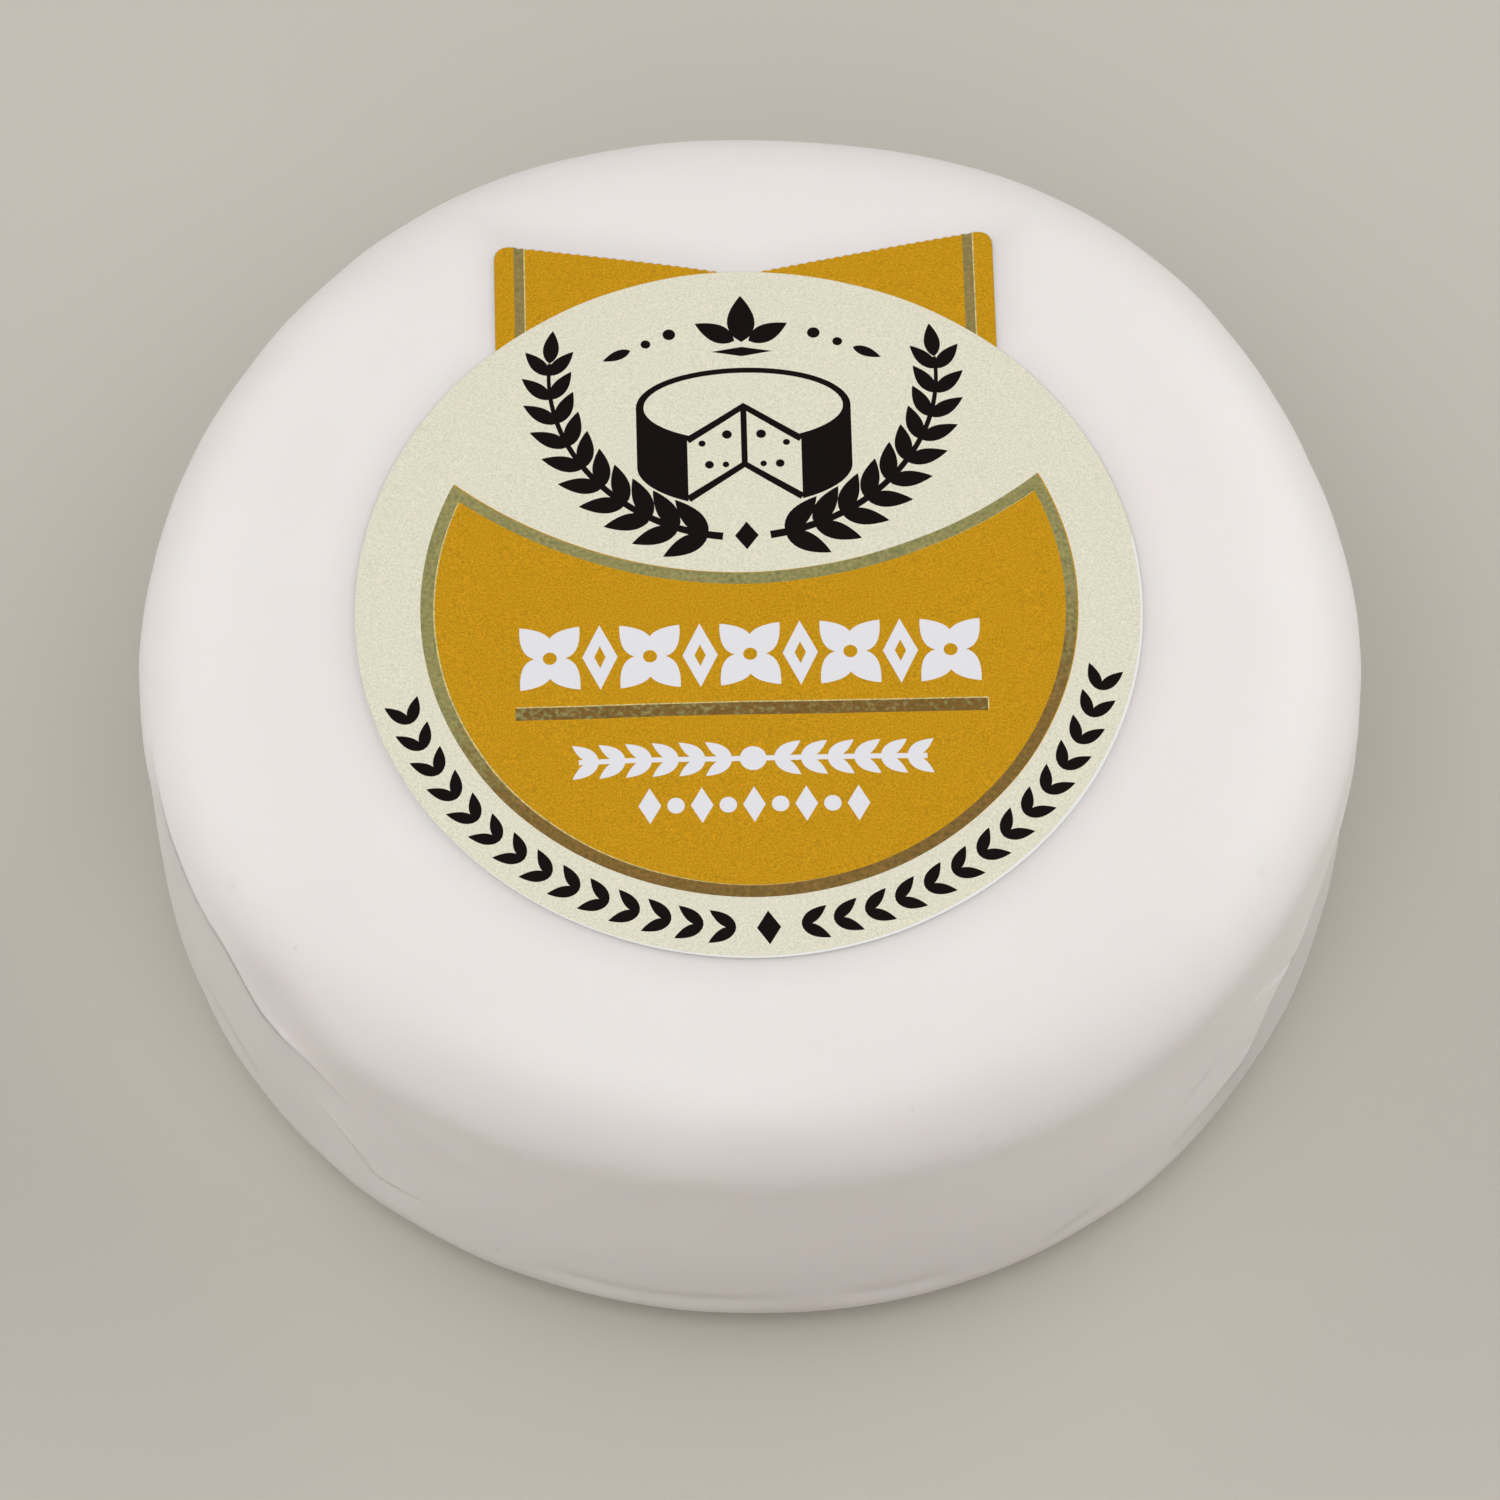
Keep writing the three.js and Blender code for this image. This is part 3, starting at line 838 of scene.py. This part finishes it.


# The socket of a foil's colour with its painted reflection, as it turns from the first colour to the
# second, along the label
def foilColour(tree, colour, foil):
    join = tree.links.new
    place = newNode(tree, "ShaderNodeTexCoord", -1100, 200)
    way = {1: (foil["aside"], -1, 0)}
    towards = newNode(tree, "ShaderNodeVectorMath", -900, 200, way, operation="DOT_PRODUCT")
    texture = {"Scale": 1 / foil["speck"], "Detail": foil["speckDetail"]}
    specks = newNode(tree, "ShaderNodeTexNoise", -1100, 450, texture)
    centred = newNode(tree, "ShaderNodeMath", -1000, 600, {1: 0.5}, operation="SUBTRACT")
    mottled = newNode(tree, "ShaderNodeMath", -820, 450, {1: foil["mottling"]}, operation="MULTIPLY_ADD")
    reach = {"From Min": foil["start"], "From Max": foil["end"]}
    share = newNode(tree, "ShaderNodeMapRange", -750, 200, reach, interpolation_type="SMOOTHSTEP")
    colours = {"A": (*colour, 1), "B": (*foil["colour"], 1)}
    blend = newNode(tree, "ShaderNodeMix", -580, 200, colours, data_type="RGBA")
    join(place.outputs["Object"], towards.inputs[0])
    join(place.outputs["Object"], specks.inputs["Vector"])
    join(specks.outputs["Fac"], centred.inputs[0])
    join(centred.outputs[0], mottled.inputs[0])
    join(towards.outputs["Value"], mottled.inputs[2])
    join(mottled.outputs[0], share.inputs["Value"])
    join(share.outputs["Result"], blend.inputs["Factor"])
    return blend.outputs["Result"]


def inkMaterial(name):
    finish = finishes[name]
    shine = {"Roughness": finish["rough"], "Specular IOR Level": finish["shine"]}
    material = newMaterial(name + "Ink", shine)
    tree = material.node_tree
    join = tree.links.new
    surface = tree.nodes["Principled BSDF"]
    speckle = newNode(tree, "ShaderNodeGroup", -400, 200, node_tree=grain)
    grained = {"Colour": (*finish["colour"], 1), "Size": finish["size"], "Contrast": finish["contrast"]}
    setSockets(speckle, grained)
    relief = {"Strength": inkBump["strength"], "Distance": inkBump["distance"]}
    bump = newNode(tree, "ShaderNodeBump", -200, -150, relief)
    join(speckle.outputs["Colour"], surface.inputs["Base Color"])
    join(speckle.outputs["Height"], bump.inputs["Height"])
    join(bump.outputs["Normal"], surface.inputs["Normal"])
    if name in foilTurns:
        join(foilColour(tree, finish["colour"], foilTurns[name]), speckle.inputs["Colour"])
    return material


# How far a point of the wax is from the label's edge, in metres
def labelDistanceGroup():
    group = bpy.data.node_groups.new("labelDistance", "ShaderNodeTree")
    group.interface.new_socket("Distance", in_out="OUTPUT", socket_type="NodeSocketFloat")
    leave = newNode(group, "NodeGroupOutput", 900, 0)
    place = newNode(group, "ShaderNodeTexCoord", -900, 0)
    centre = (*[c * mm for c in label["centre"]], 0)
    centred = newNode(group, "ShaderNodeVectorMath", -700, 0, {1: centre}, operation="SUBTRACT")
    flat = newNode(group, "ShaderNodeVectorMath", -500, 150, {1: (1, 1, 0)}, operation="MULTIPLY")
    parts = newNode(group, "ShaderNodeSeparateXYZ", -500, -150)
    join = group.links.new
    join(place.outputs["Object"], centred.inputs[0])
    join(centred.outputs[0], flat.inputs[0])
    join(centred.outputs[0], parts.inputs[0])

    def maths(operation, x, y, first, second):
        node = newNode(group, "ShaderNodeMath", x, y, operation=operation)
        for socket, value in zip(node.inputs, (first, second)):
            if isinstance(value, float):
                socket.default_value = value
            else:
                join(value, socket)
        return node.outputs[0]

    length = newNode(group, "ShaderNodeVectorMath", -300, 150, operation="LENGTH")
    join(flat.outputs[0], length.inputs[0])
    disc = maths("SUBTRACT", -100, 150, length.outputs["Value"], label["radius"] * mm)
    rise = (label["tabLength"] - label["radius"]) / label["tabHalfWidth"]
    across = maths("ABSOLUTE", -300, -50, parts.outputs["X"], 0.0)
    aside = maths("SUBTRACT", -100, -50, across, label["tabHalfWidth"] * mm)
    slope = maths("MULTIPLY", -300, -250, across, rise)
    level = maths("SUBTRACT", -200, -350, parts.outputs["Y"], slope)
    end = maths("SUBTRACT", -100, -250, level, label["radius"] * mm)
    behind = maths("MULTIPLY", -100, -450, parts.outputs["Y"], -1.0)
    tab = maths("MAXIMUM", 300, -150, maths("MAXIMUM", 100, -150, aside, end), behind)
    join(maths("MINIMUM", 600, 0, disc, tab), leave.inputs["Distance"])
    return group


# The wax's colours and textures, with their sizes in metres
wax = {
    "colour": (0.845, 0.805, 0.783),
    "pinkColour": (0.845, 0.79, 0.775),  # in soft patches
    "patchSize": 0.016,
    "patchDetail": 2.0,
    "patchFrom": 0.42,
    "patchFull": 0.62,
    "labelShadow": 0.8,  # painted shadow of the label on the wax: darker under the label's edge, fading within this reach of it
    "labelShadowReach": 0.0033,
    "creaseShade": 0.62,  # painted shade at the bottom of a crack, under a lip and in a wrinkle, against the open surface
    "pitSpacing": 0.011,
    "pitRadius": 0.011,  # a share of the spacing
    "pitEdge": 2.2,
    "pitShade": 0.86,
    "skinSize": 0.0011,
    "skinDetail": 3.0,
    "skinStrength": 0.1,
    "skinDepth": 0.00004,
    "rough": 0.42,
    "subsurface": 0.3,
    "subsurfaceScale": 0.0004,
    "subsurfaceRadius": (1.0, 0.75, 0.6),
}


def waxMaterial():
    body = {
        "Roughness": wax["rough"],
        "Subsurface Weight": wax["subsurface"],
        "Subsurface Scale": wax["subsurfaceScale"],
        "Subsurface Radius": wax["subsurfaceRadius"],
    }
    material = newMaterial("whiteWax", body)
    tree = material.node_tree
    join = tree.links.new
    surface = tree.nodes["Principled BSDF"]
    place = newNode(tree, "ShaderNodeTexCoord", -1300, 0)

    def texture(kind, y, size, **values):
        node = newNode(tree, kind, -1050, y, {"Scale": 1 / size, **values})
        join(place.outputs["Object"], node.inputs["Vector"])
        return node

    # maps a socket's values from one pair of numbers to another
    def mapped(socket, y, start, end, low, high, **settings):
        ranges = {"From Min": start, "From Max": end, "To Min": low, "To Max": high}
        node = newNode(tree, "ShaderNodeMapRange", -850, y, ranges, **settings)
        join(socket, node.inputs["Value"])
        return node.outputs["Result"]

    def times(first, second, x, y):
        node = newNode(tree, "ShaderNodeMath", x, y, operation="MULTIPLY")
        join(first, node.inputs[0])
        join(second, node.inputs[1])
        return node.outputs[0]

    patches = texture("ShaderNodeTexNoise", 250, wax["patchSize"], Detail=wax["patchDetail"])
    pink = mapped(patches.outputs["Fac"], 250, wax["patchFrom"], wax["patchFull"], 0, 1)
    colours = {"A": (*wax["colour"], 1), "B": (*wax["pinkColour"], 1)}
    blush = newNode(tree, "ShaderNodeMix", -600, 250, colours, data_type="RGBA")
    join(pink, blush.inputs["Factor"])

    cells = texture("ShaderNodeTexVoronoi", -100, wax["pitSpacing"])
    pitEdge = wax["pitRadius"] * wax["pitEdge"]
    inPit = mapped(cells.outputs["Distance"], -100, wax["pitRadius"], pitEdge, wax["pitShade"], 1)
    # painted shadow of the label on the wax round its edge
    toLabel = newNode(tree, "ShaderNodeGroup", -1050, 500, node_tree=labelDistanceGroup())
    distance, reach = toLabel.outputs["Distance"], wax["labelShadowReach"]
    beside = mapped(distance, 500, -reach, reach, wax["labelShadow"], 1, interpolation_type="SMOOTHSTEP")
    # painted shade in the cracks, under the lips and in wrinkles and pits
    creases = newNode(tree, "ShaderNodeAttribute", -1050, 750, attribute_name="crease")
    inCrease = mapped(creases.outputs["Fac"], 750, 0, 1, 1, wax["creaseShade"])
    # painted shade low on the wall and below the cracked folds
    paintedShade = newNode(tree, "ShaderNodeAttribute", -1050, 1000, attribute_name="paintedShade")
    paler = newNode(tree, "ShaderNodeMath", -850, 1000, {0: 1.0}, operation="SUBTRACT")
    join(paintedShade.outputs["Fac"], paler.inputs[1])
    onWall = times(inCrease, paler.outputs[0], -700, 850)
    withPits = times(onWall, inPit, -700, 0)
    darken = newNode(tree, "ShaderNodeVectorMath", -350, 150, operation="SCALE")
    join(blush.outputs["Result"], darken.inputs[0])
    join(times(withPits, beside, -550, 0), darken.inputs["Scale"])
    join(darken.outputs[0], surface.inputs["Base Color"])

    skin = texture("ShaderNodeTexNoise", -400, wax["skinSize"], Detail=wax["skinDetail"])
    relief = {"Strength": wax["skinStrength"], "Distance": wax["skinDepth"]}
    bump = newNode(tree, "ShaderNodeBump", -350, -300, relief)
    join(skin.outputs["Fac"], bump.inputs["Height"])
    join(bump.outputs["Normal"], surface.inputs["Normal"])
    return material


# The camera looks down on the label from the front: the photograph's own view, 1500 by 1500
view = {
    "elevation": 60.31,
    "over": (-0.2, -1.0),  # the place on the top that the camera was aimed from
    "distance": 840.0,  # to that place
    "pixelsPerMm": 14.081,  # at that distance
    "framePixels": 1500,
    "aimRight": 0.15,  # from there to the middle of the frame
    "aimDown": 10.31,
    "sensor": 36.0,
    "clip": (0.01, 10),  # metres
}


def makeCamera():
    rise = math.radians(view["elevation"])
    forward = Vector((0, math.cos(rise), -math.sin(rise)))
    up = Vector((0, math.sin(rise), math.cos(rise)))
    middle = Vector((*view["over"], truckle["height"]))
    place = middle - forward * view["distance"]
    target = middle + Vector((view["aimRight"], 0, 0)) - up * view["aimDown"]
    camera = bpy.data.cameras.new("camera")
    camera.sensor_width = view["sensor"]
    camera.lens = view["sensor"] * view["pixelsPerMm"] * view["distance"] / view["framePixels"]
    camera.clip_start, camera.clip_end = view["clip"]
    made = bpy.data.objects.new("camera", camera)
    made.location = place * mm
    made.rotation_mode = "QUATERNION"
    made.rotation_quaternion = (target - place).to_track_quat("-Z", "Y")
    bpy.context.scene.collection.objects.link(made)
    bpy.context.scene.camera = made


# Large soft lights, each aimed at the truckle from an azimuth and an elevation. Their sizes and the
# room's are in metres.
lights = {
    "left": {"azimuth": 158, "elevation": 30, "width": 1.3, "height": 0.7, "power": 4.7},
    "right": {"azimuth": 22, "elevation": 30, "width": 1.3, "height": 0.7, "power": 5.7},
    "highLeft": {"azimuth": 225, "elevation": 58, "width": 0.7, "height": 0.7, "power": 1.0},
    "highFront": {"azimuth": 270, "elevation": 58, "width": 0.7, "height": 0.7, "power": 3.4},
}
lightDistance = 0.9
room = {
    "colour": (1.0, 0.99, 0.97), "strength": 0.15,
    "floorColour": (0.54, 0.51, 0.455), "floorRough": 0.8, "floorSize": 4.0,
}


def makeStage():
    for name, light in lights.items():
        lamp = bpy.data.lights.new(name + "Light", "AREA")
        lamp.shape = "RECTANGLE"
        lamp.size, lamp.size_y = light["width"], light["height"]
        lamp.energy = light["power"]
        turn, rise = math.radians(light["azimuth"]), math.radians(light["elevation"])
        place = Vector((math.cos(turn) * math.cos(rise), math.sin(turn) * math.cos(rise), math.sin(rise)))
        made = bpy.data.objects.new(name + "Light", lamp)
        made.location = place * lightDistance
        made.rotation_mode = "QUATERNION"
        made.rotation_quaternion = (-place).to_track_quat("-Z", "Y")
        bpy.context.scene.collection.objects.link(made)
    world = bpy.data.worlds.new("room")
    world.use_nodes = True
    glow = {"Color": (*room["colour"], 1), "Strength": room["strength"]}
    setSockets(world.node_tree.nodes["Background"], glow)
    bpy.context.scene.world = world
    half = room["floorSize"] / 2 / mm
    corners = [(-half, -half, 0), (half, -half, 0), (half, half, 0), (-half, half, 0)]
    floor = meshObject("floor", corners, [(0, 1, 2, 3)])
    matt = {"Base Color": (*room["floorColour"], 1), "Roughness": room["floorRough"]}
    floor.data.materials.append(newMaterial("floorPaper", matt))
    bpy.context.scene.view_settings.view_transform = "Standard"


makeCamera()
makeStage()
print("stage: camera, lights and floor")

coat = makeTruckle()
coat.data.materials.append(waxMaterial())
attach(coat, "root")
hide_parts("waxed_truckle")
print("truckle:", len(coat.data.polygons), "faces")

printed = makeLabel()
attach(printed, "root")
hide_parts("paper_label")
